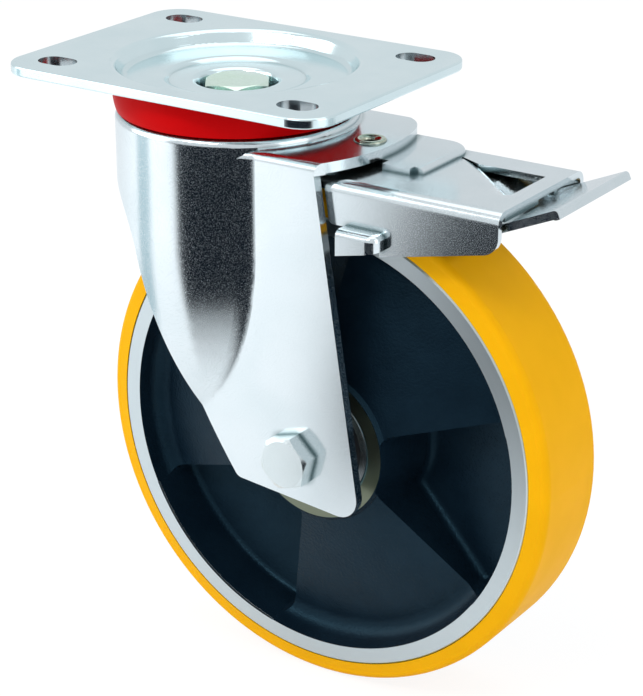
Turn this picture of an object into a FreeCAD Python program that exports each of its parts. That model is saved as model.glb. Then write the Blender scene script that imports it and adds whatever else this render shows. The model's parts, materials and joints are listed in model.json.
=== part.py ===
# Swivel castor with a total brake: pressed steel fork and plate, cast wheel with a cast-on tread.
# Frame: origin at the centre of the mounting plate's top face, +Z up, so the castor hangs below it.
# The fork trails towards +X, the axle lies along Y, and the brake pedal points to +X.

import FreeCAD, Part
import math
import os

V = FreeCAD.Vector
UP = V(0, 0, 1)
ACROSS = V(0, 1, 0)

# Driving dimensions, millimetres and degrees

# Mounting plate, a rectangle with four slots
PLATE_LENGTH = 145.0
PLATE_WIDTH = 110.0
PLATE_SHEET = 4.0
PLATE_CORNER = 13.0
PLATE_EDGE_SOFTNESS = 0.8
SLOT_SPACING_X = 110.0
SLOT_SPACING_Y = 80.0
SLOT_WIDTH = 11.0
SLOT_LENGTH = 16.0

# Round dish that is pressed into the plate, and the smaller steps inside it
DISH_RIM_RADIUS = 47.4
DISH_WALL_RUN = 4.2
DISH_DEPTH = 6.0
DISC_RADIUS = 27.5
DISC_STEP = 1.5
DIMPLE_RADIUS = 17.6
DIMPLE_WALL_RUN = 3.0
DIMPLE_DEPTH = 6.0

# Swivel head
KING_DIAMETER = 16.0
KING_ACROSS_FLATS = 24.0
KING_HEAD_HEIGHT = 5.9
KING_HEAD_TURN = 3.7
KING_NUT_HEIGHT = 8.0
KING_END_BEYOND_NUT = 2.5
UPPER_BALL = 9.5
UPPER_PITCH_RADIUS = 36.0
UPPER_COUNT = 20
LOWER_BALL = 7.5
LOWER_PITCH_RADIUS = 24.5
LOWER_COUNT = 16
GROOVE_DEPTH = 0.75
RACE_SHEET = 3.5
RACE_BOSS_RADIUS = 15.0
TOOTH_RING_RADIUS = 37.0
TOOTH_COUNT = 24
TOOTH_NOTCH_WIDTH = 5.0
TOOTH_NOTCH_DEPTH = 5.5

# Dust seal
SEAL_RADIUS = 47.7
SEAL_WALL = 6.5
SEAL_LIP_RISE = 3.4
SEAL_SKIRT_DROOP = 0.4

# Fork, pressed from one sheet
FORK_SHEET = 4.0
CROWN_RADIUS = 47.0
CROWN_RISE = 4.0
CROWN_RIM_ROUND = 3.0
CROWN_FOOT_FILLET = 1.0
CROWN_HOLE_RADIUS = 20.0
FORK_WIDTH = 73.0
FORK_CREASE_RADIUS = 12.0
FORK_BEND_RADIUS = 3.0
BULGE_STRAIGHT_DEPTH = 60.0
BULGE_FADE_DEPTH = 131.0
SHELF_RADIUS = 70.0
SHELF_CORNER_ROUND = 20.0
LEG_REAR_X = 58.8
LEG_TIP_REAR = 30.0
LEG_TIP_BELOW_AXLE = 20.2
LEG_TIP_ROUND = 8.0
LEG_FRONT_AHEAD = 26.0
LEG_FRONT_BELOW_AXLE = 14.4
LEG_FRONT_ROUND = 4.0
WEB_EDGE_DEPTH = 42.0
WEB_NECK_REAR = 29.0
WEB_NECK_DROP = 24.0
WEB_FRONT_SAG = 9.5
WEB_EDGE_RUN = 22.0
WEB_EDGE_CLIMB = 23.0

# Wheel
WHEEL_DIAMETER = 200.0
TREAD_TOP_DEPTH = 40.0
SWIVEL_OFFSET = 50.0
TREAD_WIDTH = 41.0
TREAD_SHOULDER_WIDTH = 38.6
TREAD_SHOULDER_ROUND = 3.0
TREAD_THICKNESS = 7.3
RIM_WIDTH = 41.5
RIM_THICKNESS = 6.9
RIM_WAIST_THICKNESS = 10.6
WEB_HUB_FACE = 20.4
WEB_RIM_FACE = 9.4
WEB_FOOT_ROUND = 6.0
WEB_SECTORS = 6
WEB_FIRST_EDGE = 18.5
WEB_EDGE_SLACK = 1.0
WEB_RIB = 6.8
POCKET_HUB_DEPTH = 6.5
POCKET_HUB_RADIUS = 36.0
POCKET_RIM_DEPTH = -1.5
POCKET_WALL_BITE = 0.2
POCKET_CORNER = 3.5
POCKET_FLOOR_FILLET = 3.0
HUB_WIDTH = 44.0
HUB_RADIUS = 30.3
HUB_CONE_RADIUS = 31.6

# Wheel bearings, 20 x 47 x 14, and the axle set
BEARING_BORE = 20.0
BEARING_OUTSIDE = 47.0
BEARING_WIDTH = 14.0
BEARING_RECESS = 1.0
BEARING_BALL = 7.94
BEARING_BALL_COUNT = 8
INNER_RING_WALL = 3.2
OUTER_RING_WALL = 3.2
BEARING_SEAL_SHEET = 1.0
BEARING_SEAL_INSET = 0.4
HUB_CORE_BORE = 36.0
AXLE_DIAMETER = 12.0
AXLE_ACROSS_FLATS = 19.0
AXLE_HEAD_HEIGHT = 7.5
AXLE_HEAD_TURN = 16.0
AXLE_NUT_HEIGHT = 10.0
AXLE_END_BEYOND_NUT = 3.0
SPACER_WALL = 3.0

# Brake housing, a pressed channel behind the fork
HOUSING_SHEET = 2.5
HOUSING_WIDTH = 63.0
HOUSING_FRONT_X = 50.0
HOUSING_END_X = 133.0
HOUSING_FOLD_RADIUS = 4.5
FLANGE_FRONT_DEPTH = 57.0
FLANGE_END_DEPTH = 44.9
FLANGE_END_ROUND = 7.0
FLANGE_NECK_DEPTH = 45.0
FLANGE_LEG_GAP = 0.5
FLANGE_NECK_ROUND = 2.0
END_WALL_HEIGHT = 4.2
END_WALL_FIRST_Y = -3.0
END_TAB_Y = 10.0
END_TAB_WIDTH = 2.5
CROSS_BAR_WIDTH = 7.0
FAR_RIM_WIDTH = 16.5
WINDOW_LEFT_X = 98.0
WINDOW_NEAR_Y = -9.0
WINDOW_LIP_RADIUS = 12.0
WINDOW_LIP_ANGLE = 28.0
LUG_FRONT_X = 70.0
LUG_LENGTH = 17.0
LUG_BULGE = 7.0
LUG_HEIGHT = 9.8
LUG_LOW_RISE = 2.9
LUG_EDGE_ROUND = 2.6
LUG_END_ROUND = 4.4

# Bridge plate between shelf and housing, and the hollow rivet through all three
BRIDGE_SHEET = 2.5
BRIDGE_END_X = 88.3
BRIDGE_NEAR_Y = -11.0
BRIDGE_NECK_GAP = 2.5
BRIDGE_FAR_ROUND = 10.0
BRIDGE_NECK_Y = -6.5
BRIDGE_FAR_Y = 29.5
BRIDGE_NOTCH = 4.0
RIVET_INSET = 9.7
RIVET_RADIUS = 4.5
RIVET_BORE_RADIUS = 2.9
RIVET_FLANGE_RADIUS = 6.2
RIVET_FLANGE = 1.0

# Brake lever with its pedal, shoe, lock arm and pivot
PEDAL_TRAVEL = 5.0
PIVOT_X = 86.0
PIVOT_DEPTH = 39.5
PIVOT_RADIUS = 3.5
PIVOT_PIN_LENGTH = 15.5
LEVER_SHEET = 3.0
LEVER_TOP_GAP = 1.6
PEDAL_SIDE_GAP = 2.0
LEVER_FRONT_X = 82.0
LEVER_FLAT_END_X = 108.0
PEDAL_LOW_X = 124.5
PEDAL_LOW_DROP = 4.2
PEDAL_TIP_X = 153.0
PEDAL_TIP_RISE = 12.3
PEDAL_LIP = 3.4
PEDAL_LIP_SHEET = 2.2
PEDAL_TIP_ROUND = 1.4
EAR_ROUND = 6.0
EAR_END_X = 104.0
ARM_SHEET = 2.5
ARM_WIDTH = 14.0
TONGUE_WIDTH = 4.0
TONGUE_LENGTH = 3.0
TONGUE_INSET = 1.2
TONGUE_HEIGHT = 2.6
ARM_END_X = 103.0
SHOE_SHEET = 3.0
SHOE_WIDTH = 32.0
SHOE_FIRST_ANGLE = 25.5
SHOE_LAST_ANGLE = 32.5
SHOE_FRONT_X = 92.6
SHOE_KNEE_X = 105.5
LEVER_RIVET_RADIUS = 2.5
LEVER_RIVET_HEAD_RADIUS = 4.2
LEVER_RIVET_X = 97.0
LEVER_RIVET_SPACING = 8.0
SPRING_WIRE = 1.6
SPRING_TURNS = 4
SPRING_PITCH_RATIO = 1.08
SPRING_BENDS_PER_TURN = 16
SPRING_WIRE_SIDES = 8
SPRING_LEVER_REACH = 14.0
SPRING_HOUSING_REACH = 9.0

# Clearances
RUNNING_GAP = 0.3
SHAFT_GAP = 0.06
SEAT_GAP = 0.04
BOLT_HOLE_GAP = 0.25
PLAIN_GAP = 0.6

# Levels and places that follow from the sizes
disc_z = -(DISH_DEPTH + DISC_STEP)
dimple_z = disc_z - DIMPLE_DEPTH
dimple_under_z = dimple_z - PLATE_SHEET
dish_under_z = -(DISH_DEPTH + PLATE_SHEET)
upper_ball_z = dish_under_z + GROOVE_DEPTH - UPPER_BALL / 2
crown_z = upper_ball_z - UPPER_BALL / 2 + GROOVE_DEPTH
crown_under_z = crown_z - FORK_SHEET
shelf_z = crown_z - CROWN_RISE
shelf_under_z = shelf_z - FORK_SHEET
lower_ball_z = crown_under_z + GROOVE_DEPTH - LOWER_BALL / 2
race_z = lower_ball_z - LOWER_BALL / 2 + GROOVE_DEPTH
race_under_z = race_z - RACE_SHEET
housing_z = shelf_under_z - BRIDGE_SHEET
housing_under_z = housing_z - HOUSING_SHEET
lever_z = housing_under_z - LEVER_TOP_GAP
lever_under_z = lever_z - LEVER_SHEET
arm_under_z = lever_under_z - ARM_SHEET
shoe_under_z = arm_under_z - SHOE_SHEET
wheel_radius = WHEEL_DIAMETER / 2
rim_radius = wheel_radius - TREAD_THICKNESS
axle_x = SWIVEL_OFFSET
axle_z = -(wheel_radius + TREAD_TOP_DEPTH)
leg_y = FORK_WIDTH / 2
leg_inner_y = leg_y - FORK_SHEET
flange_y = HOUSING_WIDTH / 2
flange_inner_y = flange_y - HOUSING_SHEET
pedal_half = flange_inner_y - PEDAL_SIDE_GAP
rivet_x = SHELF_RADIUS - RIVET_INSET
lug_top_z = LUG_HEIGHT + LUG_LOW_RISE - FLANGE_FRONT_DEPTH
bearing_out_y = HUB_WIDTH / 2 - BEARING_RECESS
bearing_in_y = bearing_out_y - BEARING_WIDTH
pivot_z = -PIVOT_DEPTH


# Helpers that draw outlines and turn them into solids

def outline(place, start, *steps):
    """Close an outline from a start point. A step is a point, or two points: through and to."""
    edges = []
    here = start
    for step in steps + (start,):
        is_arc = isinstance(step[0], tuple)
        there = step[1] if is_arc else step
        if is_arc:
            edges.append(Part.Arc(place(*here), place(*step[0]), place(*there)).toShape())
        elif place(*here).distanceToPoint(place(*there)) > 1e-6:
            edges.append(Part.LineSegment(place(*here), place(*there)).toShape())
        here = there
    return Part.Face(Part.Wire(edges))


def side(y):
    """Place an (x, z) point in an upright plane at this y."""
    return lambda x, z: V(x, y, z)


def plan(z):
    """Place an (x, y) point in a level plane at this z."""
    return lambda x, y: V(x, y, z)


def wheel_section(r, y):
    """Place a (radius, y) point in the half plane that is turned about the axle."""
    return V(axle_x + r, y, axle_z)


def swivel_section(r, z):
    """Place a (radius, z) point in the half plane that is turned about the swivel axis."""
    return V(r, 0, z)


def turn_about_swivel(*points):
    return outline(swivel_section, *points).revolve(V(0, 0, 0), UP, 360)


def turn_about_axle(*points):
    return outline(wheel_section, *points).revolve(V(axle_x, 0, axle_z), ACROSS, 360)


def side_plate(y_low, y_high, *points):
    """Extrude an (x, z) outline along Y."""
    return outline(side(y_low), *points).extrude(V(0, y_high - y_low, 0))


def level_plate(z_low, z_high, *points):
    """Extrude an (x, y) outline along Z."""
    return outline(plan(z_low), *points).extrude(V(0, 0, z_high - z_low))


def block(x_low, x_high, y_low, y_high, z_low, z_high):
    return Part.makeBox(x_high - x_low, y_high - y_low, z_high - z_low, V(x_low, y_low, z_low))


def post(x, y, z_low, z_high, radius):
    return Part.makeCylinder(radius, z_high - z_low, V(x, y, z_low), UP)


def rod(x, z, y_low, y_high, radius):
    return Part.makeCylinder(radius, y_high - y_low, V(x, y_low, z), ACROSS)


def hexagon(centre, axis, start, across_flats, height, turn):
    """A hexagonal bar from centre along axis, its first corner turned from the start direction."""
    corner = across_flats / math.sqrt(3)
    swing = FreeCAD.Rotation(axis, turn)
    points = []
    for k in range(7):
        spoke = FreeCAD.Rotation(axis, 60 * k).multVec(swing.multVec(start))
        points.append(centre + spoke * corner)
    return Part.Face(Part.makePolygon(points)).extrude(axis * height)


def round_hex_corners(bar, centre, axis, across_flats, height):
    """Take the corners off one end of a hexagonal bar with a 30 degree cone."""
    corner = across_flats / math.sqrt(3)
    drop = corner * math.tan(math.radians(30))
    top = across_flats / 2 * 0.97
    base = top + (height + drop) / math.tan(math.radians(30))
    cone = Part.makeCone(base, top, height + drop, centre - axis * drop, axis)
    return bar.common(cone)


def ring_of_balls(centre, axis, spoke, pitch_radius, count, diameter):
    balls = []
    for k in range(count):
        place = centre + FreeCAD.Rotation(axis, 360.0 * k / count).multVec(spoke) * pitch_radius
        balls.append(Part.makeSphere(diameter / 2, place))
    return Part.makeCompound(balls)


def groove(pitch_radius, centre_z, radius):
    """The ring of space that a ball race takes out of the swivel head."""
    return Part.makeTorus(pitch_radius, radius, V(0, 0, centre_z), UP)


def tidy(shape):
    """Merge split faces and return the one solid of a shape that should be one piece."""
    merged = shape.removeSplitter()
    if len(merged.Solids) != 1:
        raise ValueError("expected one solid, found %d" % len(merged.Solids))
    return merged.Solids[0]


def mirror_across(shape):
    return shape.mirror(V(0, 0, 0), ACROSS)


# Mounting plate and swivel head

def top_plate():
    half_l = PLATE_LENGTH / 2
    half_w = PLATE_WIDTH / 2
    plate = block(-half_l, half_l, -half_w, half_w, -PLATE_SHEET, 0)
    corners = [e for e in plate.Edges if abs(e.Vertexes[0].Z - e.Vertexes[1].Z) > 1]
    plate = plate.makeFillet(PLATE_CORNER, corners)
    plate = plate.makeFillet(PLATE_EDGE_SOFTNESS, [e for e in plate.Edges if is_level(e)])
    plate = plate.cut(post(0, 0, -PLATE_SHEET - 1, 1, DISH_RIM_RADIUS + PLATE_SHEET))
    plate = plate.fuse(plate_dish())
    for sx in (-1, 1):
        for sy in (-1, 1):
            plate = plate.cut(plate_slot(sx * SLOT_SPACING_X / 2, sy * SLOT_SPACING_Y / 2))
    return tidy(plate)


def is_level(edge):
    box = edge.BoundBox
    return box.ZMax - box.ZMin < 1e-6


def plate_slot(x, y):
    reach = (SLOT_LENGTH - SLOT_WIDTH) / 2
    r = SLOT_WIDTH / 2
    return level_plate(
        -PLATE_SHEET - 1, 1,
        (x - reach, y - r), (x + reach, y - r), ((x + reach + r, y), (x + reach, y + r)),
        (x - reach, y + r), ((x - reach - r, y), (x - reach, y - r)))


def plate_dish():
    """The dish, the disc and the dimple: the sheet keeps its thickness down each step."""
    t = PLATE_SHEET
    rim = DISH_RIM_RADIUS
    floor_r = rim - DISH_WALL_RUN
    soft = 1.3
    dimple_r = DIMPLE_RADIUS - DIMPLE_WALL_RUN
    hole = KING_DIAMETER / 2 + BOLT_HOLE_GAP
    dish = turn_about_swivel(
        (rim + t, 0), (rim + soft, 0),
        ((rim - 0.2, -0.45), (rim - soft, -1.8)),
        (floor_r + soft, -DISH_DEPTH + 1.5),
        ((floor_r + 0.3, -DISH_DEPTH + 0.35), (floor_r - soft, -DISH_DEPTH)),
        (DISC_RADIUS + soft, -DISH_DEPTH),
        ((DISC_RADIUS + 0.3, -DISH_DEPTH - 0.25), (DISC_RADIUS - soft, disc_z)),
        (DIMPLE_RADIUS, disc_z),
        ((DIMPLE_RADIUS - 1.4, disc_z - 0.6), (DIMPLE_RADIUS - 2.1, disc_z - 1.7)),
        (dimple_r, dimple_z), (hole, dimple_z),
        (hole, dimple_under_z), (dimple_r + 2.4, dimple_under_z),
        ((dimple_r + 3.6, dimple_under_z + 0.9), (dimple_r + t, dimple_under_z + 2.4)),
        (DIMPLE_RADIUS + 1.6, disc_z - t), (DISC_RADIUS, disc_z - t),
        (DISC_RADIUS + 2.6, dish_under_z), (floor_r + 0.6, dish_under_z),
        ((floor_r + 2.0, dish_under_z + 0.6), (floor_r + 2.8, dish_under_z + 2.0)),
        (rim + 0.4, -t - 0.9), ((rim + 1.1, -t - 0.3), (rim + 2.0, -t)), (rim + t, -t))
    ball_space = groove(UPPER_PITCH_RADIUS, upper_ball_z, UPPER_BALL / 2 + SEAT_GAP)
    return dish.cut(ball_space)


def king_bolt():
    head_base = V(0, 0, dimple_z)
    head = hexagon(head_base, UP, V(1, 0, 0), KING_ACROSS_FLATS, KING_HEAD_HEIGHT, KING_HEAD_TURN)
    head = round_hex_corners(head, head_base, UP, KING_ACROSS_FLATS, KING_HEAD_HEIGHT)
    end_z = race_under_z - KING_NUT_HEIGHT - KING_END_BEYOND_NUT
    shank = post(0, 0, end_z, dimple_z, KING_DIAMETER / 2)
    shank = shank.makeChamfer(1.0, [e for e in shank.Edges if is_level(e) and e.BoundBox.ZMin < end_z + 1])
    return tidy(head.fuse(shank))


def lower_race():
    """The clamped cup under the crown, with the ring of notches that the swivel lock enters."""
    hole = KING_DIAMETER / 2 + SHAFT_GAP
    cup = turn_about_swivel(
        (hole, dimple_under_z), (RACE_BOSS_RADIUS - 1, dimple_under_z),
        (RACE_BOSS_RADIUS, dimple_under_z - 1), (RACE_BOSS_RADIUS, race_z),
        (TOOTH_RING_RADIUS, race_z), (TOOTH_RING_RADIUS, race_under_z), (hole, race_under_z))
    cup = cup.cut(groove(LOWER_PITCH_RADIUS, lower_ball_z, LOWER_BALL / 2 + SEAT_GAP))
    half = TOOTH_NOTCH_WIDTH / 2
    notch = block(TOOTH_RING_RADIUS - TOOTH_NOTCH_DEPTH, TOOTH_RING_RADIUS + 3, -half, half,
                  race_under_z - 1, race_z + 1)
    notches = []
    for k in range(TOOTH_COUNT):
        notches.append(notch.rotated(V(0, 0, 0), UP, 360.0 * k / TOOTH_COUNT))
    return tidy(cup.cut(notches))


def king_nut():
    base = V(0, 0, race_under_z)
    down = V(0, 0, -1)
    nut = hexagon(base, down, V(1, 0, 0), KING_ACROSS_FLATS, KING_NUT_HEIGHT, 0)
    nut = round_hex_corners(nut, base, down, KING_ACROSS_FLATS, KING_NUT_HEIGHT)
    hole = post(0, 0, race_under_z - KING_NUT_HEIGHT - 1, race_under_z + 1, KING_DIAMETER / 2 + SHAFT_GAP)
    return tidy(nut.cut(hole))


def upper_balls():
    return ring_of_balls(V(0, 0, upper_ball_z), UP, V(1, 0, 0), UPPER_PITCH_RADIUS, UPPER_COUNT, UPPER_BALL)


def lower_balls():
    return ring_of_balls(V(0, 0, lower_ball_z), UP, V(1, 0, 0), LOWER_PITCH_RADIUS, LOWER_COUNT, LOWER_BALL)


def dust_seal():
    """A soft red ring that sits on the crown's rim, with a lip that reaches up round the dish."""
    top = dish_under_z - RUNNING_GAP
    under = crown_z + SEAT_GAP
    inner_r = SEAL_RADIUS - SEAL_WALL
    floor_r = DISH_RIM_RADIUS - DISH_WALL_RUN
    lip_z = dish_under_z + SEAL_LIP_RISE
    return turn_about_swivel(
        (inner_r, under), (CROWN_RADIUS - CROWN_RIM_ROUND, under),
        (SEAL_RADIUS - 1.1, crown_z + SEAL_SKIRT_DROOP),
        ((SEAL_RADIUS, (crown_z + lip_z) / 2), (SEAL_RADIUS - 0.3, lip_z)), (SEAL_RADIUS - 0.7, lip_z),
        (floor_r + 3.2, dish_under_z + 1.4), (floor_r + 2.2, top), (inner_r, top))


# Fork

def bulge_radius(z, trim):
    """Outer radius of the fork's round front at a height, less a trim for the inner face."""
    straight = -BULGE_STRAIGHT_DEPTH
    fade = CROWN_RADIUS - leg_y
    run = BULGE_FADE_DEPTH - BULGE_STRAIGHT_DEPTH
    drop = max(0.0, straight - z)
    return CROWN_RADIUS - fade * (drop / run) ** 2 - trim


def fork_ring(z, trim, rear_x):
    """Outline of the fork's outer face at one height, or its inner face where trim is the sheet."""
    r = bulge_radius(z, trim)
    half = leg_y - trim
    crease = FORK_CREASE_RADIUS + trim
    centre_y = half + crease
    centre_x = math.sqrt(max((r + crease) ** 2 - centre_y ** 2, 1.0))
    share = r / (r + crease)
    touch_x = centre_x * share
    touch_y = centre_y * share
    bend = math.atan2(centre_x - touch_x, centre_y - touch_y) / 2
    mid_x = centre_x - crease * math.sin(bend)
    mid_y = centre_y - crease * math.cos(bend)
    return outline(
        plan(z), (rear_x, -half), (centre_x, -half), ((mid_x, -mid_y), (touch_x, -touch_y)),
        ((-r, 0), (touch_x, touch_y)), ((mid_x, mid_y), (centre_x, half)), (rear_x, half)).OuterWire


def fork_body(trim, top_z, rear_x):
    """A solid of the fork's outer or inner form, from its top down past the leg tips."""
    straight_z = -BULGE_STRAIGHT_DEPTH
    fade_z = -BULGE_FADE_DEPTH
    low_z = axle_z - LEG_TIP_BELOW_AXLE - 5
    upper = Part.Face(fork_ring(top_z, trim, rear_x)).extrude(V(0, 0, straight_z - top_z))
    steps = 5
    heights = [straight_z + (fade_z + 2 - straight_z) * k / steps for k in range(steps + 1)]
    middle = Part.makeLoft([fork_ring(z, trim, rear_x) for z in heights], True, False)
    lower = block(0, rear_x, -(leg_y - trim), leg_y - trim, low_z, heights[-1])
    return upper.fuse([middle, lower])


def leg_outline():
    """The fork's side view: the cut that all of its sheet below the shelf keeps to."""
    top = shelf_z + 1
    tip_z = axle_z - LEG_TIP_BELOW_AXLE
    tip_x = axle_x + LEG_TIP_REAR
    front_x = axle_x - LEG_FRONT_AHEAD
    front_z = axle_z - LEG_FRONT_BELOW_AXLE
    web_z = -WEB_EDGE_DEPTH
    crown_front = -CROWN_RADIUS
    neck = (crown_front + WEB_NECK_REAR, web_z - WEB_NECK_DROP)
    shape = side_plate(
        -CROWN_RADIUS - 5, CROWN_RADIUS + 5,
        (crown_front - 10, top), (LEG_REAR_X, top), (LEG_REAR_X, shelf_z), (tip_x, tip_z),
        (front_x, front_z),
        (((front_x + neck[0]) / 2, (front_z + neck[1]) / 2 - WEB_FRONT_SAG), neck),
        ((neck[0] - WEB_EDGE_RUN * 0.39, neck[1] + WEB_EDGE_CLIMB * 0.59),
         (neck[0] - WEB_EDGE_RUN, neck[1] + WEB_EDGE_CLIMB)),
        (crown_front - 10, web_z))
    shape = shape.makeFillet(LEG_TIP_ROUND, edges_at(shape, tip_x, tip_z))
    return shape.makeFillet(LEG_FRONT_ROUND, edges_at(shape, front_x, front_z))


def edges_at(shape, x, z):
    """Edges along Y that pass through this (x, z)."""
    found = []
    for edge in shape.Edges:
        box = edge.BoundBox
        level = abs(box.XMax - box.XMin) < 1e-6 and abs(box.ZMax - box.ZMin) < 1e-6
        if level and abs(box.XMin - x) < 1e-4 and abs(box.ZMin - z) < 1e-4:
            found.append(edge)
    return found


def fork():
    rear = SHELF_RADIUS + 12
    outer = fork_body(0, shelf_z, rear)
    top_edges = [e for e in outer.Edges if is_level(e) and abs(e.BoundBox.ZMax - shelf_z) < 1e-4
                 and e.BoundBox.XMin < rear - 1]
    outer = outer.makeFillet(FORK_BEND_RADIUS, top_edges)
    inner = fork_body(FORK_SHEET, shelf_under_z, rear + 5)
    shell = outer.cut(inner)
    below = leg_outline()
    shelf = post(0, 0, shelf_under_z - 0.5, shelf_z + 1, SHELF_RADIUS)
    shell = shell.common(below.fuse(shelf)).cut(shelf_corner())
    shell = shell.fuse(fork_crown())
    shell = shell.cut([
        post(0, 0, shelf_under_z - 5, crown_under_z, CROWN_RADIUS - FORK_SHEET),
        post(0, 0, crown_under_z - 1, crown_z + 1, CROWN_HOLE_RADIUS),
        groove(UPPER_PITCH_RADIUS, upper_ball_z, UPPER_BALL / 2 + RUNNING_GAP),
        groove(LOWER_PITCH_RADIUS, lower_ball_z, LOWER_BALL / 2 + RUNNING_GAP),
        post(rivet_x, 0, shelf_under_z - 1, shelf_z + 1, RIVET_RADIUS + SEAT_GAP),
        rod(axle_x, axle_z, -leg_y - 1, leg_y + 1, AXLE_DIAMETER / 2 + SHAFT_GAP)])
    return tidy(shell)


def shelf_corner():
    """What rounds the shelf's far rear corner, cut down past the fold as well."""
    corner_x = math.sqrt(SHELF_RADIUS ** 2 - leg_y ** 2)
    reach = SHELF_CORNER_ROUND
    low = shelf_z - FORK_BEND_RADIUS - FORK_SHEET
    square = block(0, SHELF_RADIUS + 1, -1, leg_y, low, shelf_z + 1)
    rounded_shelf = square.common(post(0, 0, low, shelf_z + 1, SHELF_RADIUS))
    upright = [e for e in rounded_shelf.Edges if e.BoundBox.XMin > corner_x - 1e-3
               and e.BoundBox.XMax < corner_x + 1e-3 and e.BoundBox.YMin > leg_y - 1e-3]
    rounded_shelf = rounded_shelf.makeFillet(reach, upright)
    around = block(corner_x - reach, SHELF_RADIUS + 1, reach / 2, leg_y + 1, low, shelf_z + 1)
    return around.cut(rounded_shelf)


def fork_crown():
    """The raised round head of the fork, with its round rim and a small fillet at its foot."""
    r = CROWN_RADIUS
    rim = CROWN_RIM_ROUND
    foot = CROWN_FOOT_FILLET
    low_z = shelf_under_z
    diagonal = rim * math.sin(math.radians(45))
    hollow = foot * (1 - math.sin(math.radians(45)))
    rim_arc = ((r - rim + diagonal, crown_z - rim + diagonal), (r - rim, crown_z))
    crown = turn_about_swivel(
        (0, low_z), (r, low_z), (r, crown_z - rim), rim_arc, (0, crown_z))
    foot_ring = turn_about_swivel(
        (r - 1, shelf_z - 1), (r + foot, shelf_z - 1), (r + foot, shelf_z),
        ((r + hollow, shelf_z + hollow), (r, shelf_z + foot)), (r - 1, shelf_z + foot))
    shelf_side = fork_ring(shelf_z - 2, FORK_BEND_RADIUS, SHELF_RADIUS)
    foot_ring = foot_ring.common(Part.Face(shelf_side).extrude(V(0, 0, CROWN_RISE + 2)))
    return crown.fuse(foot_ring)


# Wheel

def rim_wall_radius(y):
    """The rim's inner wall widens from its middle to its two mouths."""
    lip_r = rim_radius - RIM_THICKNESS
    waist_r = rim_radius - RIM_WAIST_THICKNESS
    return waist_r + (lip_r - waist_r) * abs(y) / (RIM_WIDTH / 2)


def rounded(before, corner, after, radius):
    """Outline steps that round a corner: where the arc begins, then its middle and its end."""
    here = V(*corner, 0)
    back = (V(*before, 0) - here).normalize()
    ahead = (V(*after, 0) - here).normalize()
    half = back.getAngle(ahead) / 2
    middle = (back + ahead).normalize() * (radius / math.sin(half) - radius)
    reach = radius / math.tan(half)
    start, mid, end = here + back * reach, here + middle, here + ahead * reach
    return (start.x, start.y), ((mid.x, mid.y), (end.x, end.y))


def wheel_core():
    rim_y = RIM_WIDTH / 2
    lip_r = rim_wall_radius(rim_y)
    hub_y = HUB_WIDTH / 2
    seat_r = BEARING_OUTSIDE / 2
    core_r = HUB_CORE_BORE / 2
    lip = (lip_r, -rim_y)
    foot = (rim_wall_radius(WEB_RIM_FACE), -WEB_RIM_FACE)
    cone = (HUB_CONE_RADIUS, -WEB_HUB_FACE)
    foot_start, (foot_mid, foot_end) = rounded(lip, foot, cone, WEB_FOOT_ROUND)
    chamfer = 0.8
    near_side = [
        (rim_radius - chamfer, -rim_y), lip, foot_start, (foot_mid, foot_end), cone,
        (HUB_RADIUS, -hub_y), (seat_r + chamfer, -hub_y), (seat_r, -hub_y + chamfer),
        (seat_r, -bearing_in_y), (core_r, -bearing_in_y)]
    far_side = [
        (core_r, bearing_in_y), (seat_r, bearing_in_y), (seat_r, hub_y - chamfer),
        (seat_r + chamfer, hub_y), (HUB_RADIUS, hub_y), (cone[0], -cone[1]), (foot_end[0], -foot_end[1]),
        ((foot_mid[0], -foot_mid[1]), (foot_start[0], -foot_start[1])), (lip_r, rim_y),
        (rim_radius - chamfer, rim_y), (rim_radius, rim_y - chamfer)]
    core = turn_about_axle((rim_radius, -rim_y + chamfer), *near_side, *far_side)
    near_pocket = web_pocket()
    far_pocket = mirror_across(near_pocket)
    pockets = []
    for k in range(WEB_SECTORS):
        pocket = near_pocket if k % 2 == 1 else far_pocket
        edge = WEB_FIRST_EDGE + 360.0 / WEB_SECTORS * k
        pockets.append(pocket.rotated(V(axle_x, 0, axle_z), ACROSS, -edge))
    return tidy(core.cut(pockets))


def web_pocket():
    """The space over one sunk sector of the web, on the near side, with its lower edge along +X."""
    floor_hub = (POCKET_HUB_RADIUS, POCKET_HUB_DEPTH)
    floor_rim = (rim_wall_radius(POCKET_RIM_DEPTH) + POCKET_WALL_BITE, POCKET_RIM_DEPTH)
    mouth_y = -RIM_WIDTH / 2 - HUB_RADIUS / 10
    mouth_rim = (rim_wall_radius(mouth_y) + POCKET_WALL_BITE, mouth_y)
    slope = (POCKET_HUB_RADIUS - HUB_RADIUS) / (POCKET_HUB_DEPTH + HUB_WIDTH / 2)
    mouth_hub = (POCKET_HUB_RADIUS - slope * (POCKET_HUB_DEPTH - mouth_y), mouth_y)
    ring = turn_about_axle(mouth_hub, floor_hub, floor_rim, mouth_rim)
    width = math.radians(360.0 / WEB_SECTORS - WEB_EDGE_SLACK)
    apex = (axle_x + WEB_RIB / math.tan(width), axle_z + WEB_RIB)
    reach = wheel_radius * 2
    wedge = side_plate(
        mouth_y - 1, POCKET_HUB_DEPTH + 1, apex, (axle_x + reach, axle_z + WEB_RIB),
        (axle_x + reach * math.cos(width), axle_z + reach * math.sin(width)))
    space = ring.common(wedge)
    uprights = [e for e in space.Edges if e.BoundBox.YMax > POCKET_RIM_DEPTH - 1
                and e.BoundBox.YMin < mouth_y + 1e-3]
    space = space.makeFillet(POCKET_CORNER, uprights)
    bottom = [e for e in space.Edges if e.BoundBox.YMin > POCKET_RIM_DEPTH - POCKET_CORNER
              and e.BoundBox.YMax < POCKET_HUB_DEPTH + 1e-3]
    return space.makeFillet(POCKET_FLOOR_FILLET, bottom)


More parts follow.
